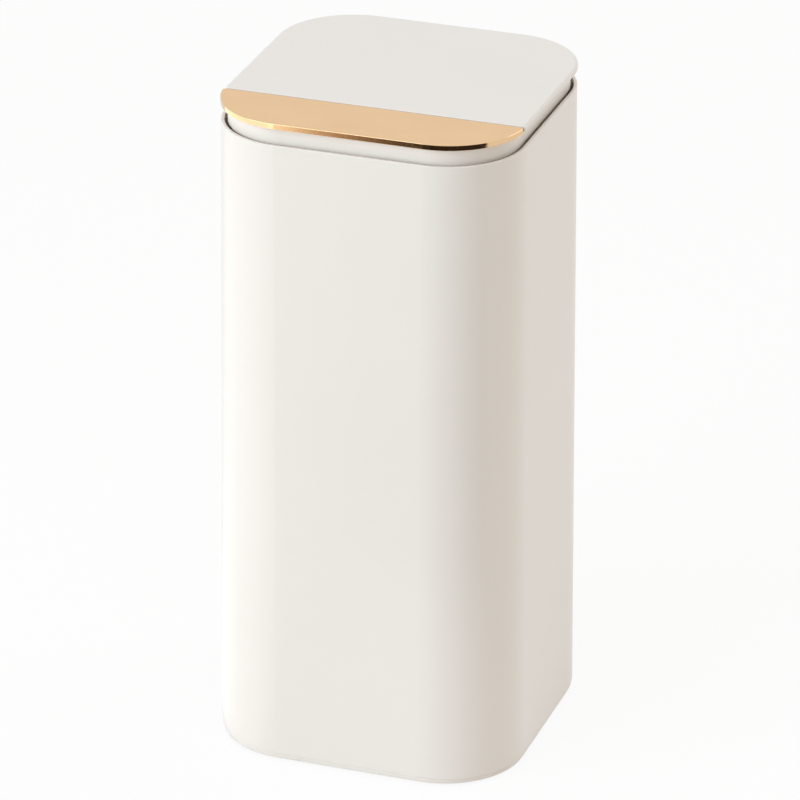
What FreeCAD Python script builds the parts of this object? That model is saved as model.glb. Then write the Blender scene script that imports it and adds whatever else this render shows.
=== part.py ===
import FreeCAD
import Part
import math
import os

Vector = FreeCAD.Vector

# All sizes are millimetres. The origin is on the table under the middle of the box,
# +Z is up, the lid's pull faces -Y and the hinge is at +Y.

# Outer form
base_width = 100.0  # side to side and front to back at the shell's foot
corner_radius = 26.3  # plan corner at the shell's foot
overall_height = 216.6  # table to lid top
draft_degrees = 0.47  # each side leans in this much towards the rim

# Outer shell
shell_wall = 2.2
rim_lip = 1.1  # the wall thins to this around the lid
rim_lip_depth = 9.0  # from the rim down to the ledge that carries the liner
rim_rounding = 0.3
foot_chamfer = 0.25  # makes the fine line above the base plate

# Base plate, its feet and its screws
foot_stand_off = 0.6  # how far the feet hold the base plate off the table
base_plate_thickness = 1.8
base_plate_inset = 0.3  # base plate edge to shell face
base_plate_rounding = 0.9
spigot_height = 4.0
spigot_wall = 1.8
spigot_clearance = 0.15
foot_radius = 6.5
foot_recess = 0.8
foot_clearance = 0.15
foot_rounding = 0.3
foot_from_core = 8.5  # foot centre outside the core square, along X and Y
boss_radius = 3.5
boss_top_height = 11.5  # above the table
boss_wall_gap = 1.8  # boss to shell wall, bridged by a rib
boss_rib = 2.0
screw_pad_radius = 4.2
screw_pad_height = 2.4
base_screw_radius = 1.4
base_screw_length = 8.0
base_screw_head_radius = 2.75
base_screw_head_height = 1.7
base_screw_recess = 2.0
screw_clearance = 0.05  # shank to the hole it bites in
screw_hole_spare = 0.5  # depth of hole left past the shank's end
loose_clearance = 0.3  # around shanks, heads, bosses and blocks that pass through another piece

# Liner that holds the brushes
liner_wall = 1.5
liner_draft_degrees = 0.5
liner_floor_clearance = 0.5  # liner to the bosses under it
liner_floor_thickness = 1.6
liner_floor_fillet = 3.0
flange_thickness = 1.5
flange_clearance = 0.3
liner_ear_clearance = 0.6
guide_rib_width = 1.2
guide_rib_depth = 1.4
finger_notch_radius = 9.0  # half-round notch in each side of the mouth, for lifting the liner

# Crossed dividers
divider_thickness = 1.6
divider_height = 150.0
divider_side_clearance = 0.15  # divider face to guide rib, and to the other divider
divider_end_clearance = 0.3
divider_top_rounding = 6.0

# Lid
lid_plate_thickness = 1.8
lid_overhang = 0.12  # both plates past the rim's outer face
lid_reveal = 5.3  # height of collar seen between rim and lid plate
lid_plate_top_rounding = 0.9
lid_plate_under_rounding = 0.3
lid_plate_corner_rounding = 1.5  # where its front edge meets the sides
collar_gap = 1.0  # rim lip to collar
collar_wall = 1.8
collar_step = 1.0  # the skirt below is set back this far from the neck that shows
collar_step_drop = 0.5  # from the rim's level down to the step
collar_deck = 1.8
panel_recess = 0.8
panel_thickness = 1.2
panel_shelf = 0.9
panel_clearance = 0.2

# Pull plate on the lid's front
pull_plate_depth = 22.4  # front to back
pull_plate_joint = 0.5  # open line between pull plate and lid plate
pull_plate_edge_rounding = 0.15
pull_plate_end_rounding = 1.0
pull_screw_spacing = 40.0

# Screws that hold both plates from under the lid's deck
plate_boss_radius = 2.5
plate_boss_short = 0.2  # boss end stays this far above the pad's face
deck_pad_radius = 4.5
deck_pad_height = 2.0
lid_screw_inset = 16.0  # from the collar's outside
lid_screw_radius = 1.1
lid_screw_length = 4.2
lid_screw_head_radius = 3.7
lid_screw_head_height = 1.3

# Hinge, between rim and lid plate at the rear
barrel_air = 0.75  # barrel to rim, and barrel to lid plate
barrel_skin = 0.05  # barrel to the shell's outer face
pin_radius = 0.9
pin_clearance = 0.05
pin_end_cover = 0.6  # outer ear closed over the pin's outer end
ear_width = 3.5
knuckle_width = 7.0
knuckle_side_clearance = 0.15
hinge_from_corner = 1.0  # outer ear to the start of the rounded corner
ear_root_depth = 4.0  # ear carried down the wall below the ledge
pocket_clearance = 0.35
pocket_wall = 1.2

# Bumpers under the lid's front
bumper_radius = 1.1
bumper_recess = 0.8
bumper_height = 0.7  # above the flange
bumper_spacing = 44.0

# Screw drives
drive_width = 0.8
drive_depth = 0.9

core_half = base_width / 2 - corner_radius
shell_foot_z = foot_stand_off + base_plate_thickness
lid_plate_z = overall_height - lid_plate_thickness
rim_z = lid_plate_z - lid_reveal
ledge_z = rim_z - rim_lip_depth
flange_top_z = ledge_z + flange_thickness


def shell_half(z, inset=0.0):
    """Half width of the shell's outer face at height z, less an inset."""
    lean = (z - shell_foot_z) * math.tan(math.radians(draft_degrees))
    return base_width / 2 - lean - inset


rim_half = shell_half(rim_z)
plate_half = rim_half + lid_overhang
collar_half = rim_half - rim_lip - collar_gap
skirt_half = collar_half - collar_step
step_z = rim_z - collar_step_drop
collar_z = flange_top_z + bumper_height
deck_z = lid_plate_z - collar_deck
pad_z = deck_z - deck_pad_height
panel_z = collar_z + panel_recess
panel_top_z = panel_z + panel_thickness

barrel_radius = lid_reveal / 2 - barrel_air
hinge_z = rim_z + lid_reveal / 2
hinge_y = rim_half - barrel_skin - barrel_radius
station_outer = core_half - hinge_from_corner
station_inner = station_outer - 2 * ear_width - knuckle_width - 2 * knuckle_side_clearance
pocket_front_y = hinge_y - barrel_radius - pocket_clearance
block_front_y = pocket_front_y - pocket_wall

liner_z = boss_top_height + liner_floor_clearance
liner_floor_z = liner_z + liner_floor_thickness
liner_top_half = hinge_y - barrel_radius - liner_ear_clearance

screw_pad_z = shell_foot_z + screw_pad_height
boss_reach = shell_half(shell_foot_z, shell_wall) - boss_wall_gap - boss_radius
base_screw_seat_z = foot_stand_off + base_screw_recess
foot_reach = core_half + foot_from_core

lid_screw_reach = collar_half - lid_screw_inset
pull_back_y = -plate_half + pull_plate_depth
pull_screw_y = -plate_half + pull_plate_depth / 2 + collar_wall


def liner_half(z, inset=0.0):
    """Half width of the liner's outer face at height z, less an inset."""
    lean = (flange_top_z - z) * math.tan(math.radians(liner_draft_degrees))
    return liner_top_half - lean - inset


def box(x0, x1, y0, y1, z0, z1):
    return Part.makeBox(x1 - x0, y1 - y0, z1 - z0, Vector(x0, y0, z0))


def post(x, y, z0, z1, radius):
    return Part.makeCylinder(radius, z1 - z0, Vector(x, y, z0))


def bar(x0, x1, y, z, radius):
    return Part.makeCylinder(radius, x1 - x0, Vector(x0, y, z), Vector(1, 0, 0))


def join(shapes):
    return shapes[0].multiFuse(shapes[1:]).removeSplitter()


def turned(shape, degrees):
    copy = shape.copy()
    copy.rotate(Vector(0, 0, 0), Vector(0, 0, 1), degrees)
    return copy


def mirrored(shape):
    """The same shape on the other side of the X = 0 plane."""
    return shape.mirror(Vector(0, 0, 0), Vector(1, 0, 0))


def rounded_block(half_low, half_high, z_low, z_high):
    """Rounded square that leans in evenly; its corner centres stay on the core square."""
    height = z_high - z_low
    centre = Vector(core_half, core_half, z_low)
    up = Vector(0, 0, 1)
    radius_low = half_low - core_half
    radius_high = half_high - core_half
    if abs(radius_low - radius_high) < 1e-6:
        corner = Part.makeCylinder(radius_low, height, centre, up, 90)
    else:
        corner = Part.makeCone(radius_low, radius_high, height, centre, up, 90)
    outline = Part.makePolygon([
        Vector(core_half, -core_half, z_low),
        Vector(half_low, -core_half, z_low),
        Vector(half_high, -core_half, z_high),
        Vector(core_half, -core_half, z_high),
        Vector(core_half, -core_half, z_low),
    ])
    side = Part.Face(outline).extrude(Vector(0, 2 * core_half, 0))
    pieces = [box(-core_half, core_half, -core_half, core_half, z_low, z_high)]
    for degrees in (0, 90, 180, 270):
        pieces.append(turned(side, degrees))
        pieces.append(turned(corner, degrees))
    return join(pieces)


def straight_block(half, z_low, z_high):
    return rounded_block(half, half, z_low, z_high)


def edges_at(shape, z, half_least=0.0, half_most=1000.0):
    """Level edges at height z whose reach from the middle lies between two half widths."""
    found = []
    for edge in shape.Edges:
        bounds = edge.BoundBox
        reach = max(abs(bounds.XMin), abs(bounds.XMax), abs(bounds.YMin), abs(bounds.YMax))
        level = abs(bounds.ZMin - z) < 1e-3 and abs(bounds.ZMax - z) < 1e-3
        if level and half_least <= reach <= half_most:
            found.append(edge)
    return found


def hinge_stations():
    """The X ranges of the inner ear, the knuckle and the outer ear on the right side."""
    inner_ear = (station_inner, station_inner + ear_width)
    knuckle_start = inner_ear[1] + knuckle_side_clearance
    knuckle = (knuckle_start, knuckle_start + knuckle_width)
    outer_ear = (station_outer - ear_width, station_outer)
    return inner_ear, knuckle, outer_ear


def pin_span():
    """The X range of the right pin, from the open inner ear into the closed outer ear."""
    return station_inner, station_outer - pin_end_cover


def around_the_middle(shape):
    """Four copies, one at the middle of each side."""
    return [turned(shape, degrees) for degrees in (0, 90, 180, 270)]


def screw(x, y, seat_z, radius, length, head_radius, head_height):
    """Screw driven upwards: head under the seat, shank above it, cross drive below."""
    head = post(x, y, seat_z - head_height, seat_z, head_radius)
    under = edges_at(head, seat_z - head_height)
    head = head.makeFillet(head_height / 3, under)
    shank = post(x, y, seat_z, seat_z + length, radius)
    solid = join([head, shank])
    arm = head_radius * 0.6
    low = seat_z - head_height
    slot = drive_width / 2
    across = box(x - arm, x + arm, y - slot, y + slot, low, low + drive_depth)
    along = box(x - slot, x + slot, y - arm, y + arm, low, low + drive_depth)
    return solid.cut(across).cut(along)


def make_ear(span):
    """One ear of the shell: a root inside the wall, carried up to a barrel around the pin."""
    x0, x1 = span
    root = box(x0, x1, hinge_y - barrel_radius, hinge_y + barrel_radius,
               ledge_z - ear_root_depth, hinge_z)
    return join([root, bar(x0, x1, hinge_y, hinge_z, barrel_radius)])


def make_outer_shell():
    body = rounded_block(shell_half(shell_foot_z), rim_half, shell_foot_z, rim_z)
    body = body.makeFillet(rim_rounding, edges_at(body, rim_z))
    body = body.makeChamfer(foot_chamfer, edges_at(body, shell_foot_z))
    cavity = rounded_block(
        shell_half(shell_foot_z, shell_wall), shell_half(ledge_z, shell_wall),
        shell_foot_z, ledge_z)
    lid_room = rounded_block(
        shell_half(ledge_z, rim_lip), shell_half(rim_z, rim_lip), ledge_z, rim_z)
    body = body.cut(cavity).cut(lid_room)
    inner_edge = edges_at(body, rim_z, 0.0, rim_half - rim_lip + 1e-3)
    body = body.makeFillet(rim_rounding, inner_edge)

    wall_y = shell_half(shell_foot_z, shell_wall)
    boss = post(0, -boss_reach, screw_pad_z, boss_top_height, boss_radius)
    rib = box(-boss_rib / 2, boss_rib / 2, -wall_y - shell_wall / 2, -boss_reach,
              screw_pad_z, boss_top_height)
    hole_top = base_screw_seat_z + base_screw_length + screw_hole_spare
    hole = post(0, -boss_reach, screw_pad_z, hole_top, base_screw_radius + screw_clearance)
    bosses = around_the_middle(join([boss, rib]).cut(hole))

    inner_ear, knuckle, outer_ear = hinge_stations()
    ears = [make_ear(inner_ear), make_ear(outer_ear)]
    ears += [mirrored(ear) for ear in ears]
    shell = join([body] + bosses + ears)
    start, end = pin_span()
    bore = bar(start, end, hinge_y, hinge_z, pin_radius + pin_clearance)
    return shell.cut(bore).cut(mirrored(bore))


def make_base_plate():
    edge_half = base_width / 2 - base_plate_inset
    plate = straight_block(edge_half, foot_stand_off, shell_foot_z)
    plate = plate.makeFillet(base_plate_rounding, edges_at(plate, foot_stand_off))
    spigot_half = shell_half(shell_foot_z + spigot_height, shell_wall + spigot_clearance)
    spigot = straight_block(spigot_half, shell_foot_z, shell_foot_z + spigot_height)
    spigot = spigot.cut(straight_block(
        spigot_half - spigot_wall, shell_foot_z, shell_foot_z + spigot_height))
    pads = around_the_middle(post(0, -boss_reach, shell_foot_z, screw_pad_z, screw_pad_radius))
    plate = join([plate, spigot] + pads)

    free = loose_clearance
    boss_room = post(0, -boss_reach, screw_pad_z, screw_pad_z + spigot_height, boss_radius + free)
    rib_room = box(-boss_rib / 2 - free, boss_rib / 2 + free, -edge_half, -boss_reach,
                   screw_pad_z, screw_pad_z + spigot_height)
    shank_room = post(0, -boss_reach, foot_stand_off, screw_pad_z, base_screw_radius + free)
    head_room = post(0, -boss_reach, foot_stand_off, base_screw_seat_z,
                     base_screw_head_radius + free)
    for shape in (boss_room, rib_room, shank_room, head_room):
        for copy in around_the_middle(shape):
            plate = plate.cut(copy)
    recess = post(foot_reach, foot_reach, foot_stand_off, foot_stand_off + foot_recess,
                  foot_radius + foot_clearance)
    for copy in around_the_middle(recess):
        plate = plate.cut(copy)
    return plate


def make_base_screws():
    one = screw(0, -boss_reach, base_screw_seat_z, base_screw_radius, base_screw_length,
                base_screw_head_radius, base_screw_head_height)
    return Part.makeCompound(around_the_middle(one))


def make_foot(side_x, side_y):
    foot = post(side_x * foot_reach, side_y * foot_reach, 0, foot_stand_off + foot_recess,
                foot_radius)
    return foot.makeFillet(foot_rounding, edges_at(foot, 0))


def make_liner():
    outside = rounded_block(liner_half(liner_z), liner_half(flange_top_z), liner_z, flange_top_z)
    flange_half = shell_half(rim_z, rim_lip + flange_clearance)
    flange = straight_block(flange_half, ledge_z, flange_top_z)
    liner = join([outside, flange])
    inside = rounded_block(
        liner_half(liner_floor_z, liner_wall), liner_half(flange_top_z, liner_wall),
        liner_floor_z, flange_top_z)
    inside = inside.makeFillet(liner_floor_fillet, edges_at(inside, liner_floor_z))
    liner = liner.cut(inside)

    rib_inner_y = liner_half(liner_floor_z, liner_wall) - guide_rib_depth
    rib_x = divider_thickness / 2 + divider_side_clearance
    rib = box(rib_x, rib_x + guide_rib_width, -rim_half, -rib_inner_y,
              liner_z, liner_floor_z + divider_height)
    rib = rib.common(outside)
    pair = [rib, mirrored(rib)]
    ribs = []
    for degrees in (0, 90, 180, 270):
        ribs += [turned(shape, degrees) for shape in pair]
    liner = join([liner] + ribs)

    notch = box(station_inner - loose_clearance, station_outer + loose_clearance,
                hinge_y - barrel_radius - loose_clearance, base_width / 2,
                ledge_z, flange_top_z)
    liner = liner.cut(notch).cut(mirrored(notch))
    grips = bar(-rim_half, rim_half, 0, flange_top_z, finger_notch_radius)
    liner = liner.cut(grips)
    for side in (1, -1):
        liner = liner.cut(bumper(side, bumper_radius + screw_clearance))
    return liner


def bumper(side, radius):
    """One bumper, or its socket when the radius is a little larger."""
    y = -(skirt_half - collar_wall / 2)
    return post(side * bumper_spacing / 2, y, flange_top_z - bumper_recess, collar_z, radius)


def make_divider(slot_from_top):
    """Flat panel that runs from side to side in X, with a half-height slot in its middle."""
    low_z = liner_floor_z
    high_z = liner_floor_z + divider_height
    low_reach = liner_half(low_z, liner_wall) - divider_end_clearance
    high_reach = liner_half(high_z, liner_wall) - divider_end_clearance
    cut = liner_floor_fillet
    y = -divider_thickness / 2
    outline = Part.makePolygon([
        Vector(-low_reach + cut, y, low_z),
        Vector(low_reach - cut, y, low_z),
        Vector(low_reach, y, low_z + cut),
        Vector(high_reach, y, high_z),
        Vector(-high_reach, y, high_z),
        Vector(-low_reach, y, low_z + cut),
        Vector(-low_reach + cut, y, low_z),
    ])
    panel = Part.Face(outline).extrude(Vector(0, divider_thickness, 0))
    top_corners = []
    for edge in panel.Edges:
        bounds = edge.BoundBox
        level = bounds.ZMax - bounds.ZMin < 1e-3 and abs(bounds.ZMax - high_z) < 1e-3
        if level and bounds.YLength > divider_thickness / 2:
            top_corners.append(edge)
    panel = panel.makeFillet(divider_top_rounding, top_corners)
    slot = divider_thickness / 2 + divider_side_clearance
    middle_z = (low_z + high_z) / 2
    overrun = 1.0
    if slot_from_top:
        return panel.cut(box(-slot, slot, -slot, slot, middle_z, high_z + overrun))
    return panel.cut(box(-slot, slot, -slot, slot, low_z - overrun, middle_z))


def plate_screw_places():
    """Lid plate screws: a rectangle behind the pull plate."""
    x = lid_screw_reach
    front_y = pull_back_y + pull_plate_joint + deck_pad_radius + loose_clearance
    return [(x, lid_screw_reach), (-x, lid_screw_reach), (x, front_y), (-x, front_y)]


def pull_screw_places():
    return [(side * pull_screw_spacing / 2, pull_screw_y) for side in (1, -1)]


def make_lid_collar():
    """Upside-down tray: deck and neck under the plates, skirt down into the rim, knuckles behind."""
    neck = straight_block(collar_half, step_z, lid_plate_z)
    skirt = straight_block(skirt_half, collar_z, step_z)
    neck_room = straight_block(collar_half - collar_wall, step_z + collar_wall, deck_z)
    shelf_room = straight_block(skirt_half - collar_wall - panel_shelf,
                                panel_top_z, step_z + collar_wall)
    panel_room = straight_block(skirt_half - collar_wall, collar_z, panel_top_z)
    collar = join([neck, skirt]).cut(neck_room).cut(shelf_room).cut(panel_room)

    block = box(station_inner - pocket_clearance - pocket_wall,
                station_outer + pocket_clearance + pocket_wall,
                block_front_y, skirt_half - collar_wall / 2, collar_z, lid_plate_z)
    pads = [post(x, y, pad_z, deck_z, deck_pad_radius)
            for x, y in plate_screw_places() + pull_screw_places()]
    collar = join([collar, block, mirrored(block)] + pads)
    pocket = box(station_inner - pocket_clearance, station_outer + pocket_clearance,
                 pocket_front_y, base_width / 2, collar_z,
                 hinge_z + barrel_radius + pocket_clearance)
    collar = collar.cut(pocket).cut(mirrored(pocket))

    x0, x1 = hinge_stations()[1]
    web = box(x0, x1, block_front_y + pocket_wall / 2, hinge_y,
              hinge_z, hinge_z + barrel_radius + 2 * pocket_clearance)
    root = box(x0, x1, block_front_y + pocket_wall / 2, hinge_y - barrel_radius / 2,
               hinge_z - barrel_radius, hinge_z)
    barrel = bar(x0, x1, hinge_y, hinge_z, barrel_radius)
    knuckle = join([web, root, barrel])
    knuckle = knuckle.cut(bar(x0, x1, hinge_y, hinge_z, pin_radius + pin_clearance))
    collar = join([collar, knuckle, mirrored(knuckle)])

    for x, y in plate_screw_places() + pull_screw_places():
        collar = collar.cut(post(x, y, pad_z, lid_plate_z, plate_boss_radius + pin_clearance))
    return collar


def with_bosses(plate, places):
    """Adds a threaded boss under a plate at each place, reaching down through the deck."""
    boss_z = pad_z + plate_boss_short
    bosses = [post(x, y, boss_z, lid_plate_z, plate_boss_radius) for x, y in places]
    plate = join([plate] + bosses)
    top = pad_z + lid_screw_length + screw_hole_spare
    for x, y in places:
        plate = plate.cut(post(x, y, boss_z, top, lid_screw_radius + screw_clearance))
    return plate


def upright_edges(shape, y_least, y_most):
    """Upright edges whose Y lies in a range."""
    found = []
    for edge in shape.Edges:
        bounds = edge.BoundBox
        upright = bounds.ZLength > lid_plate_thickness / 2
        if upright and bounds.YMin > y_least and bounds.YMax < y_most:
            found.append(edge)
    return found


def make_lid_top_plate():
    plate = straight_block(plate_half, lid_plate_z, overall_height)
    front_y = pull_back_y + pull_plate_joint
    plate = plate.cut(box(-base_width, base_width, -base_width, front_y,
                          lid_plate_z, overall_height))
    near_front = upright_edges(plate, front_y - 0.1, front_y + 0.1)
    plate = plate.makeFillet(lid_plate_corner_rounding, near_front)
    plate = plate.makeFillet(lid_plate_under_rounding, edges_at(plate, lid_plate_z))
    rim_edges = [edge for edge in edges_at(plate, overall_height)
                 if edge.BoundBox.YMax > front_y + 1e-3]
    plate = plate.makeFillet(lid_plate_top_rounding, rim_edges)
    return with_bosses(plate, plate_screw_places())


def make_pull_plate():
    plate = straight_block(plate_half, lid_plate_z, overall_height)
    plate = plate.cut(box(-base_width, base_width, pull_back_y, base_width,
                          lid_plate_z, overall_height))
    near_back = upright_edges(plate, pull_back_y - 0.1, pull_back_y + 0.1)
    plate = plate.makeFillet(pull_plate_end_rounding, near_back)
    for z in (lid_plate_z, overall_height):
        plate = plate.makeFillet(pull_plate_edge_rounding, edges_at(plate, z))
    return with_bosses(plate, pull_screw_places())


def make_lid_screws(places):
    screws = [screw(x, y, pad_z, lid_screw_radius, lid_screw_length,
                    lid_screw_head_radius, lid_screw_head_height) for x, y in places]
    return Part.makeCompound(screws)


def make_lid_inner_panel():
    panel = straight_block(skirt_half - collar_wall - panel_clearance, panel_z, panel_top_z)
    room = pocket_clearance + pocket_wall + panel_clearance
    notch = box(station_inner - room, station_outer + room,
                block_front_y - panel_clearance, base_width / 2, panel_z, panel_top_z)
    return panel.cut(notch).cut(mirrored(notch))


def make_hinge_pin(side):
    start, end = pin_span()
    pin = bar(start, end - pin_clearance, hinge_y, hinge_z, pin_radius)
    return pin if side > 0 else mirrored(pin)


def make_parts():
    """Every piece by its name."""
    pieces = {
        "outer_shell": make_outer_shell(),
        "base_plate": make_base_plate(),
        "base_screws": make_base_screws(),
        "inner_liner": make_liner(),
        "divider_side_to_side": make_divider(True),
        "divider_front_to_back": turned(make_divider(False), 90),
        "bumper_right": bumper(1, bumper_radius),
        "bumper_left": bumper(-1, bumper_radius),
        "lid_collar": make_lid_collar(),
        "lid_top_plate": make_lid_top_plate(),
        "pull_plate": make_pull_plate(),
        "lid_plate_screws": make_lid_screws(plate_screw_places()),
        "pull_plate_screws": make_lid_screws(pull_screw_places()),
        "lid_inner_panel": make_lid_inner_panel(),
        "hinge_pin_right": make_hinge_pin(1),
        "hinge_pin_left": make_hinge_pin(-1),
    }
    for side_y, depth in ((-1, "front"), (1, "rear")):
        for side_x, across in ((-1, "left"), (1, "right")):
            pieces["foot_" + depth + "_" + across] = make_foot(side_x, side_y)
    return pieces


def main():
    os.makedirs("parts", exist_ok=True)
    for name, shape in make_parts().items():
        bounds = shape.BoundBox
        print(name, "solids", len(shape.Solids), "valid", shape.isValid(),
              "volume", round(shape.Volume, 1),
              "z", round(bounds.ZMin, 3), round(bounds.ZMax, 3))
        shape.exportStep("parts/" + name + ".step")


main()
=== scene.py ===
import math

import bpy
from mathutils import Matrix, Vector

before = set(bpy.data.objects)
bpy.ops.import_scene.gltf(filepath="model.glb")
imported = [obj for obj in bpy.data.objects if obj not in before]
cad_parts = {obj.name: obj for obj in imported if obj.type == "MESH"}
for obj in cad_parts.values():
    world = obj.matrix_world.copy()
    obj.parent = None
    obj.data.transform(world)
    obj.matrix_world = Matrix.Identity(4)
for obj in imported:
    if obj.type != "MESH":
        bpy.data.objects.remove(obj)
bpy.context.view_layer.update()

# Sizes are in metres and angles in degrees. An azimuth runs from the object's front to its right
MM = 0.001

# Camera, fitted to the photograph's outline. It aims at a point on the object's axis, moved by a
# little to the picture's right and up
CAMERA_AZIMUTH = 19.048
CAMERA_ELEVATION = 24.897
CAMERA_ROLL = 0.160
CAMERA_DISTANCE = 1731.6 * MM
CAMERA_LENS = 247.5
SENSOR_WIDTH = 36.0
CLIP_START = 0.1
CLIP_END = 100.0
AIM_HEIGHT = 110.6 * MM
AIM_RIGHT = 0.095 * MM
AIM_UP = -2.666 * MM

# Lamps at a plain light level. The gloss doesn't show the top one, which would wash out the gold
LAMPS = {
    "key": {
        "azimuth": -38.0,
        "elevation": 22.0,
        "distance": 3.0,
        "width": 2.4,
        "height": 2.2,
        "power": 55.0,
        "colour": (0.80, 0.91, 1.0),
    },
    "fill": {
        "azimuth": 128.0,
        "elevation": 20.0,
        "distance": 3.0,
        "width": 1.7,
        "height": 1.9,
        "power": 17.5,
        "colour": (0.94, 1.0, 1.0),
    },
    "top": {
        "azimuth": 0.0,
        "elevation": 82.0,
        "distance": 1.5,
        "width": 1.4,
        "height": 1.4,
        "power": 7.7,
        "colour": (0.88, 0.95, 1.0),
        "in_gloss": False,
    },
}

# World: white where it is seen, and weaker and warm in the light it gives
WORLD_LEVEL = 0.465
WORLD_COLOUR = (1.0, 0.90, 0.80, 1.0)
WHITE = (1.0, 1.0, 1.0, 1.0)

# Floor: nearly white where it is seen, and a little warm in the light it throws back
FLOOR_HALF = 6.0
FLOOR_DROP = 0.1 * MM
FLOOR_ROUGHNESS = 0.9
FLOOR_WHITE_SHARE = 0.90
FLOOR_SEEN = (0.94, 0.94, 0.94, 1.0)
FLOOR_BOUNCE = (0.94, 0.89, 0.84, 1.0)

# Ring-shaped card on the floor that only the polished metal and the gloss show. Its angles run
# from its left, past 0 at its own front, to its right, and the whole card is turned. It lies
# further out from CARD_DARK_FROM on
CARD_HEIGHT = 1.0 * MM
CARD_TURN = -19.0
CARD_LEFT = -95.0
CARD_DARK_FROM = -5.0
CARD_RIGHT = 90.0
CARD_STEP = 5.0
CARD_BRIGHT_RADII = (0.062, 0.60)
CARD_DARK_RADII = (0.20, 0.90)

# The card's light from left to right, each colour with its place: bright, brown, nearly black
CARD_BANDS = (
    (-0.060, (1.85, 1.78, 1.74, 1.0)),
    (-0.018, (1.60, 1.55, 1.45, 1.0)),
    (-0.008, (0.60, 0.40, 0.23, 1.0)),
    (0.012, (0.36, 0.22, 0.12, 1.0)),
    (0.020, (0.03, 0.02, 0.015, 1.0)),
)

IVORY = (0.83, 0.80, 0.765, 1.0)
GOLD = (0.799, 0.552, 0.317, 1.0)
ZINC = (0.66, 0.66, 0.68, 1.0)
PIN_STEEL = (0.70, 0.70, 0.71, 1.0)
FOOT_GREY = (0.42, 0.41, 0.40, 1.0)
BUMPER_GREY = (0.62, 0.61, 0.59, 1.0)

# How bright the ivory is on the lid's neck and on the plastic inside. The neck's is painted
# light:
# lightened to make up for the shade that the lid plate's overhang casts on it
NECK_PAINTED_LIGHT = 1.07
INSIDE_SHARE = 0.97

# Painted shade: colours painted on faces deep in a joint or a gap, to stand for the shade there.
# Dark on the lid plate's walls that face the front, at the joint with the gold plate, and warm on
# the shell's walls that face the middle axis and on the neck below its step
JOINT_PAINTED_SHADE = (0.12, 0.08, 0.05, 1.0)
GAP_PAINTED_SHADE = (0.86, 0.79, 0.73, 1.0)

# Where those colours start and where they are full: how much of the surface's direction points to
# the rear, how much points away from the middle axis, and the height on the lid's neck. Less than
# 0 is the other way, so to the front and inwards
FRONT_FADE = (-0.6, -0.9)
INWARD_FADE = (-0.3, -0.6)
STEP_FADE = (209.4 * MM, 209.0 * MM)

# How far up the gold plate faces where its polish ends and where its satin is full. This is told
# in the world, so the satin shows only while the lid is shut or nearly so
SATIN_FADE = (0.75, 0.98)

# Most of a noise lies between these
NOISE_SPAN = (0.3, 0.7)

# What makes a noise into level streaks, and what takes the height out of a place
STREAK_STRETCH = (1.0, 1.0, 8.0)
LEVEL_ONLY = (1.0, 1.0, 0.0)


class Nodes:
    """Small helper that adds nodes to one node tree."""

    def __init__(self, tree):
        self.tree = tree

    def add(self, kind, **settings):
        node = self.tree.nodes.new(kind)
        for key, value in settings.items():
            setattr(node, key, value)
        return node

    def feed(self, target, value):
        """Gives an input its value: a number, a colour or another node's output."""
        if isinstance(value, bpy.types.NodeSocket):
            self.tree.links.new(value, target)
        else:
            target.default_value = value

    def mix(self, kind, factor, first, second):
        """Between first and second, which are two colours (RGBA) or two numbers (FLOAT)."""
        node = self.add("ShaderNodeMix", data_type=kind)
        self.feed(node.inputs["Factor"], factor)
        self.feed(node.inputs["A"], first)
        self.feed(node.inputs["B"], second)
        return node.outputs["Result"]

    def seen_white(self):
        """1 for the rays that look at the background, 0 for the rays that light the object."""
        path = self.add("ShaderNodeLightPath")
        seen = path.outputs["Is Camera Ray"]
        for ray in ("Is Glossy Ray", "Is Transmission Ray"):
            either = self.add("ShaderNodeMath", operation="MAXIMUM")
            self.feed(either.inputs[0], seen)
            self.feed(either.inputs[1], path.outputs[ray])
            seen = either.outputs["Value"]
        return seen


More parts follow.
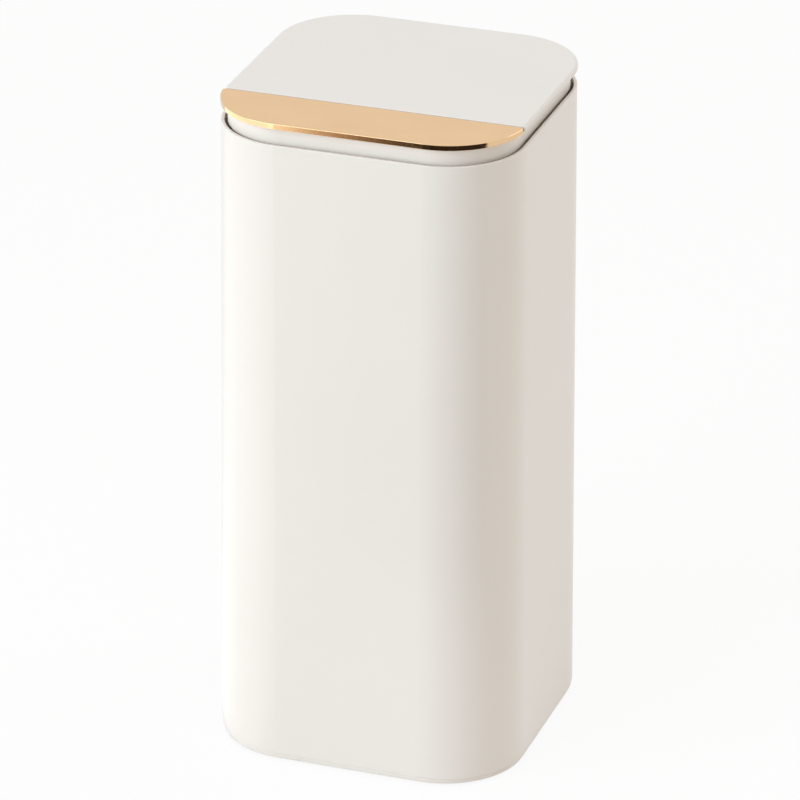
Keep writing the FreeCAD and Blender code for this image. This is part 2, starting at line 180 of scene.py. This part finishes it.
class Look(Nodes):
    """One new material, with what its surface is made of."""

    def __init__(self, name):
        self.material = bpy.data.materials.new(name)
        self.material.use_nodes = True
        super().__init__(self.material.node_tree)
        self.shader = self.tree.nodes["Principled BSDF"]
        self.output = self.tree.nodes["Material Output"]

    def surface(self, inputs):
        """Fills the shader's inputs and hands over the material."""
        for name, value in inputs.items():
            self.feed(self.shader.inputs[name], value)
        return self.material

    def own(self, kind):
        """The object's own coordinates: Object is a place in metres, Normal a direction."""
        return self.add("ShaderNodeTexCoord").outputs[kind]

    def coordinates(self, scale=(1.0, 1.0, 1.0)):
        """Places in metres, stretched by scale."""
        stretch = self.add("ShaderNodeMapping")
        self.feed(stretch.inputs["Vector"], self.own("Object"))
        self.feed(stretch.inputs["Scale"], scale)
        return stretch.outputs["Vector"]

    def component(self, vector, axis):
        """The vector's share along one axis."""
        split = self.add("ShaderNodeSeparateXYZ")
        self.feed(split.inputs["Vector"], vector)
        return split.outputs[axis]

    def noise(self, vector, scale, detail):
        node = self.add("ShaderNodeTexNoise")
        self.feed(node.inputs["Vector"], vector)
        self.feed(node.inputs["Scale"], scale)
        self.feed(node.inputs["Detail"], detail)
        return node.outputs["Fac"]

    def ramp(self, value, start, end, low=0.0, high=1.0):
        """low where the value is start, high where it is end, and between them in between."""
        node = self.add("ShaderNodeMapRange")
        self.feed(node.inputs["Value"], value)
        self.feed(node.inputs["From Min"], start)
        self.feed(node.inputs["From Max"], end)
        self.feed(node.inputs["To Min"], low)
        self.feed(node.inputs["To Max"], high)
        return node.outputs["Result"]

    def spread(self, noise, low, high):
        """A noise made to run from low to high."""
        return self.ramp(noise, *NOISE_SPAN, low, high)

    def cloudy(self, vector, colour, darkest, scale, detail):
        """The colour in soft clouds, down to that share of itself."""
        cloud = self.spread(self.noise(vector, scale, detail), 0.0, 1.0)
        return self.mix("RGBA", cloud, scaled(colour, darkest), colour)

    def relief(self, height, strength, distance, below=None):
        """Bump of that height, over an earlier bump if one is given."""
        node = self.add("ShaderNodeBump")
        self.feed(node.inputs["Height"], height)
        self.feed(node.inputs["Strength"], strength)
        self.feed(node.inputs["Distance"], distance)
        if below is not None:
            self.feed(node.inputs["Normal"], below)
        return node.outputs["Normal"]


def scaled(colour, factor):
    """The colour times a factor, and opaque."""
    return tuple(channel * factor for channel in colour[:3]) + (1.0,)


def facing_front(look):
    """1 on the walls that face straight to the object's front."""
    return look.ramp(look.component(look.own("Normal"), "Y"), *FRONT_FADE)


def facing_inwards(look):
    """1 on the walls that face the object's middle axis."""
    outwards = look.add("ShaderNodeVectorMath", operation="MULTIPLY")
    look.feed(outwards.inputs[0], look.own("Object"))
    look.feed(outwards.inputs[1], LEVEL_ONLY)
    unit = look.add("ShaderNodeVectorMath", operation="NORMALIZE")
    look.feed(unit.inputs[0], outwards.outputs["Vector"])
    turn = look.add("ShaderNodeVectorMath", operation="DOT_PRODUCT")
    look.feed(turn.inputs[0], unit.outputs["Vector"])
    look.feed(turn.inputs[1], look.own("Normal"))
    return look.ramp(turn.outputs["Value"], *INWARD_FADE)


def below_step(look):
    """1 on the part of the lid's neck that is set back below its step."""
    return look.ramp(look.component(look.own("Object"), "Z"), *STEP_FADE)


def moulded_plastic(name, colour, roughness, grain, coat=0.0, painted_shade=None):
    """Injection-moulded plastic: faint flow mottling, fine mould grain and slow surface waves.

    The last argument gives a part of the surface, as a function, and the colour painted on it
    there as shade in a joint or gap."""
    look = Look(name)
    place = look.coordinates()
    base = look.cloudy(place, colour, darkest=0.988, scale=22.0, detail=3.0)
    if painted_shade is not None:
        where, shade = painted_shade
        # Painted shade: that part of the surface takes the colour which stands for the shade in a
        # joint or gap
        base = look.mix("RGBA", where(look), base, shade)
    fine = look.noise(place, scale=1900.0, detail=2.0)
    slow = look.noise(place, scale=16.0, detail=1.0)
    waves = look.relief(slow, strength=0.05, distance=2.0 * MM)
    return look.surface({
        "Base Color": base,
        "Roughness": look.spread(fine, *roughness),
        "Normal": look.relief(fine, strength=grain, distance=0.02 * MM, below=waves),
        "IOR": 1.5,
        "Coat Weight": coat,
        "Coat Roughness": 0.12,
    })


def gold_plate(name):
    """Rose-gold anodised plate: satin blasted grain on its flat top, polished round its edge."""
    look = Look(name)
    place = look.coordinates()
    upwards = look.component(look.add("ShaderNodeNewGeometry").outputs["True Normal"], "Z")
    level = look.ramp(upwards, *SATIN_FADE)
    fine = look.noise(place, scale=2600.0, detail=2.0)
    polished = 0.12
    satin = look.spread(fine, 0.36, 0.48)
    return look.surface({
        "Base Color": look.cloudy(place, GOLD, darkest=0.96, scale=60.0, detail=3.0),
        "Roughness": look.mix("FLOAT", level, polished, satin),
        "Normal": look.relief(fine, strength=0.25, distance=0.03 * MM),
        "Metallic": 1.0,
    })


def turned_steel(name, colour, roughness):
    """Zinc-plated or drawn steel: slight cloudiness and fine level streaks, which run round an
    upright screw and along a level pin."""
    look = Look(name)
    place = look.coordinates(STREAK_STRETCH)
    streaks = look.noise(place, scale=3000.0, detail=1.0)
    return look.surface({
        "Base Color": look.cloudy(place, colour, darkest=0.86, scale=300.0, detail=3.0),
        "Roughness": look.spread(streaks, *roughness),
        "Normal": look.relief(streaks, strength=0.2, distance=0.02 * MM),
        "Metallic": 1.0,
    })


def soft_rubber(name, colour):
    """Moulded rubber: powdery, with a stipple."""
    look = Look(name)
    place = look.coordinates()
    stipple = look.noise(place, scale=1500.0, detail=2.0)
    return look.surface({
        "Base Color": look.cloudy(place, colour, darkest=0.85, scale=160.0, detail=4.0),
        "Roughness": look.spread(stipple, 0.72, 0.9),
        "Normal": look.relief(stipple, strength=0.5, distance=0.08 * MM),
    })


def paint(material, *names):
    """Gives every named CAD node that material."""
    for name in names:
        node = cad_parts[name]
        node.data.materials.clear()
        node.data.materials.append(material)


def dress():
    """Gives each CAD node its own look."""
    outside = {"roughness": (0.30, 0.38), "grain": 0.10, "coat": 0.15}
    # Painted shade: the shell's walls that face the middle axis get a warm colour for the shade
    # in the gap round the lid's neck
    paint(moulded_plastic("shell_ivory_painted_shade", IVORY, **outside, painted_shade=(facing_inwards, GAP_PAINTED_SHADE)),
          "outer_shell")
    # Painted shade: the lid plate's walls that face the front, in the joint with the gold plate,
    # are painted dark
    paint(moulded_plastic("lid_ivory_painted_shade", IVORY, **outside, painted_shade=(facing_front, JOINT_PAINTED_SHADE)),
          "lid_top_plate")
    # Painted light and shade: the neck's ivory is lightened against the shade under the lid
    # plate, and its set-back part below the step gets the warm gap shade colour
    paint(moulded_plastic("collar_ivory_painted_light_and_shade", scaled(IVORY, NECK_PAINTED_LIGHT), roughness=(0.40, 0.5),
                          grain=0.10, painted_shade=(below_step, GAP_PAINTED_SHADE)),
          "lid_collar")
    paint(moulded_plastic("inner_ivory", scaled(IVORY, INSIDE_SHARE), roughness=(0.42, 0.52),
                          grain=0.25),
          "inner_liner", "divider_side_to_side", "divider_front_to_back", "lid_inner_panel")
    paint(moulded_plastic("base_ivory", IVORY, roughness=(0.40, 0.5), grain=0.25), "base_plate")
    paint(gold_plate("rose_gold"), "pull_plate")
    paint(turned_steel("zinc_steel", ZINC, roughness=(0.28, 0.42)),
          "base_screws", "lid_plate_screws", "pull_plate_screws")
    paint(turned_steel("pin_steel", PIN_STEEL, roughness=(0.22, 0.36)),
          "hinge_pin_left", "hinge_pin_right")
    paint(soft_rubber("foot_rubber", FOOT_GREY),
          "foot_front_left", "foot_front_right", "foot_rear_left", "foot_rear_right")
    paint(soft_rubber("bumper_rubber", BUMPER_GREY), "bumper_left", "bumper_right")


def directions(azimuth, elevation):
    """Unit vectors back towards a camera or lamp, to its right and up, as it sees them."""
    a = math.radians(azimuth)
    e = math.radians(elevation)
    back = Vector((math.sin(a) * math.cos(e), -math.cos(a) * math.cos(e), math.sin(e)))
    right = Vector((math.cos(a), math.sin(a), 0.0))
    return back, right, back.cross(right)


def looking_at(target, distance, back, right, up, roll=0.0):
    """Place and turn of a camera or lamp that stands that far back and looks at the target."""
    turn = Matrix((right, up, back)).transposed()
    rolled = turn @ Matrix.Rotation(math.radians(roll), 3, "Z")
    return Matrix.Translation(target + back * distance) @ rolled.to_4x4()


def put_in_scene(name, data):
    """A new object of that mesh, lamp or camera."""
    item = bpy.data.objects.new(name, data)
    bpy.context.scene.collection.objects.link(item)
    return item


def make_camera():
    """The photograph's camera."""
    data = bpy.data.cameras.new("camera")
    data.lens = CAMERA_LENS
    data.sensor_width = SENSOR_WIDTH
    data.clip_start = CLIP_START
    data.clip_end = CLIP_END
    camera = put_in_scene("camera", data)
    back, right, up = directions(CAMERA_AZIMUTH, CAMERA_ELEVATION)
    target = Vector((0.0, 0.0, AIM_HEIGHT)) + right * AIM_RIGHT + up * AIM_UP
    camera.matrix_world = looking_at(target, CAMERA_DISTANCE, back, right, up, CAMERA_ROLL)
    bpy.context.scene.camera = camera


def soft_box(name, azimuth, elevation, distance, width, height, power, colour, in_gloss=True):
    """Rectangular lamp that faces the middle of the object."""
    data = bpy.data.lights.new(name, "AREA")
    data.shape = "RECTANGLE"
    data.size = width
    data.size_y = height
    data.energy = power
    data.color = colour
    lamp = put_in_scene(name, data)
    lamp.visible_glossy = in_gloss
    middle = Vector((0.0, 0.0, AIM_HEIGHT))
    lamp.matrix_world = looking_at(middle, distance, *directions(azimuth, elevation))


def make_lights():
    """Every lamp of the list."""
    for name, lamp in LAMPS.items():
        soft_box(name, **lamp)


def make_world():
    """Light from all round, with a white background."""
    world = bpy.data.worlds.new("studio")
    world.use_nodes = True
    nodes = Nodes(world.node_tree)
    background = world.node_tree.nodes["Background"]
    lit = scaled(WORLD_COLOUR, WORLD_LEVEL)
    nodes.feed(background.inputs["Color"], nodes.mix("RGBA", nodes.seen_white(), lit, WHITE))
    bpy.context.scene.world = world


def make_floor():
    """Plain floor, just under the feet so that their faces don't lie in one plane with it."""
    mesh = bpy.data.meshes.new("floor")
    corners = [(-1, -1), (1, -1), (1, 1), (-1, 1)]
    mesh.from_pydata([(x * FLOOR_HALF, y * FLOOR_HALF, 0) for x, y in corners],
                     [], [(0, 1, 2, 3)])
    floor = put_in_scene("floor", mesh)
    floor.location.z = -FLOOR_DROP
    look = Look("floor_white")
    seen = look.seen_white()
    mesh.materials.append(look.surface({
        "Base Color": look.mix("RGBA", seen, FLOOR_BOUNCE, FLOOR_SEEN),
        "Roughness": FLOOR_ROUGHNESS,
        "Specular IOR Level": 0.0,
    }))
    white = look.add("ShaderNodeEmission")
    share = look.add("ShaderNodeMath", operation="MULTIPLY")
    look.feed(share.inputs[0], seen)
    look.feed(share.inputs[1], FLOOR_WHITE_SHARE)
    both = look.add("ShaderNodeMixShader")
    look.feed(both.inputs["Fac"], share.outputs["Value"])
    look.feed(both.inputs[1], look.shader.outputs["BSDF"])
    look.feed(both.inputs[2], white.outputs["Emission"])
    look.feed(look.output.inputs["Surface"], both.outputs["Shader"])


def card_shape():
    """Corners and faces of the flat ring that the card is, round the object's axis."""
    corners = []
    turn = CARD_LEFT
    while turn <= CARD_RIGHT:
        across = math.sin(math.radians(turn))
        forward = -math.cos(math.radians(turn))
        for radius in CARD_BRIGHT_RADII if turn < CARD_DARK_FROM else CARD_DARK_RADII:
            corners.append((radius * across, radius * forward, 0.0))
        turn += CARD_STEP
    # Each turn added an inner and an outer corner, and a face joins two turns
    faces = [(i, i + 1, i + 3, i + 2) for i in range(0, len(corners) - 2, 2)]
    return corners, faces


def card_light():
    """Glowing bands from the card's left to its right."""
    look = Look("card_bands")
    start = CARD_BANDS[0][0]
    end = CARD_BANDS[-1][0]
    along = look.ramp(look.component(look.coordinates(), "X"), start, end)
    ramp = look.add("ShaderNodeValToRGB")
    look.feed(ramp.inputs["Fac"], along)
    stops = ramp.color_ramp.elements
    for place, _ in CARD_BANDS[1:-1]:
        stops.new((place - start) / (end - start))
    for stop, (_, colour) in zip(stops, CARD_BANDS):
        stop.color = colour
    light = look.add("ShaderNodeEmission")
    look.feed(light.inputs["Color"], ramp.outputs["Color"])
    look.feed(look.output.inputs["Surface"], light.outputs["Emission"])
    return look.material


def make_card():
    """Card round the front of the object that is left out of everything but reflections."""
    mesh = bpy.data.meshes.new("reflected_card")
    corners, faces = card_shape()
    mesh.from_pydata(corners, [], faces)
    mesh.materials.append(card_light())
    card = put_in_scene("reflected_card", mesh)
    card.location.z = CARD_HEIGHT
    card.rotation_euler.z = math.radians(CARD_TURN)
    card.visible_camera = False
    card.visible_diffuse = False
    card.visible_transmission = False
    card.visible_shadow = False


bpy.context.scene.view_settings.view_transform = "Standard"
dress()
make_camera()
make_lights()
make_world()
make_floor()
make_card()
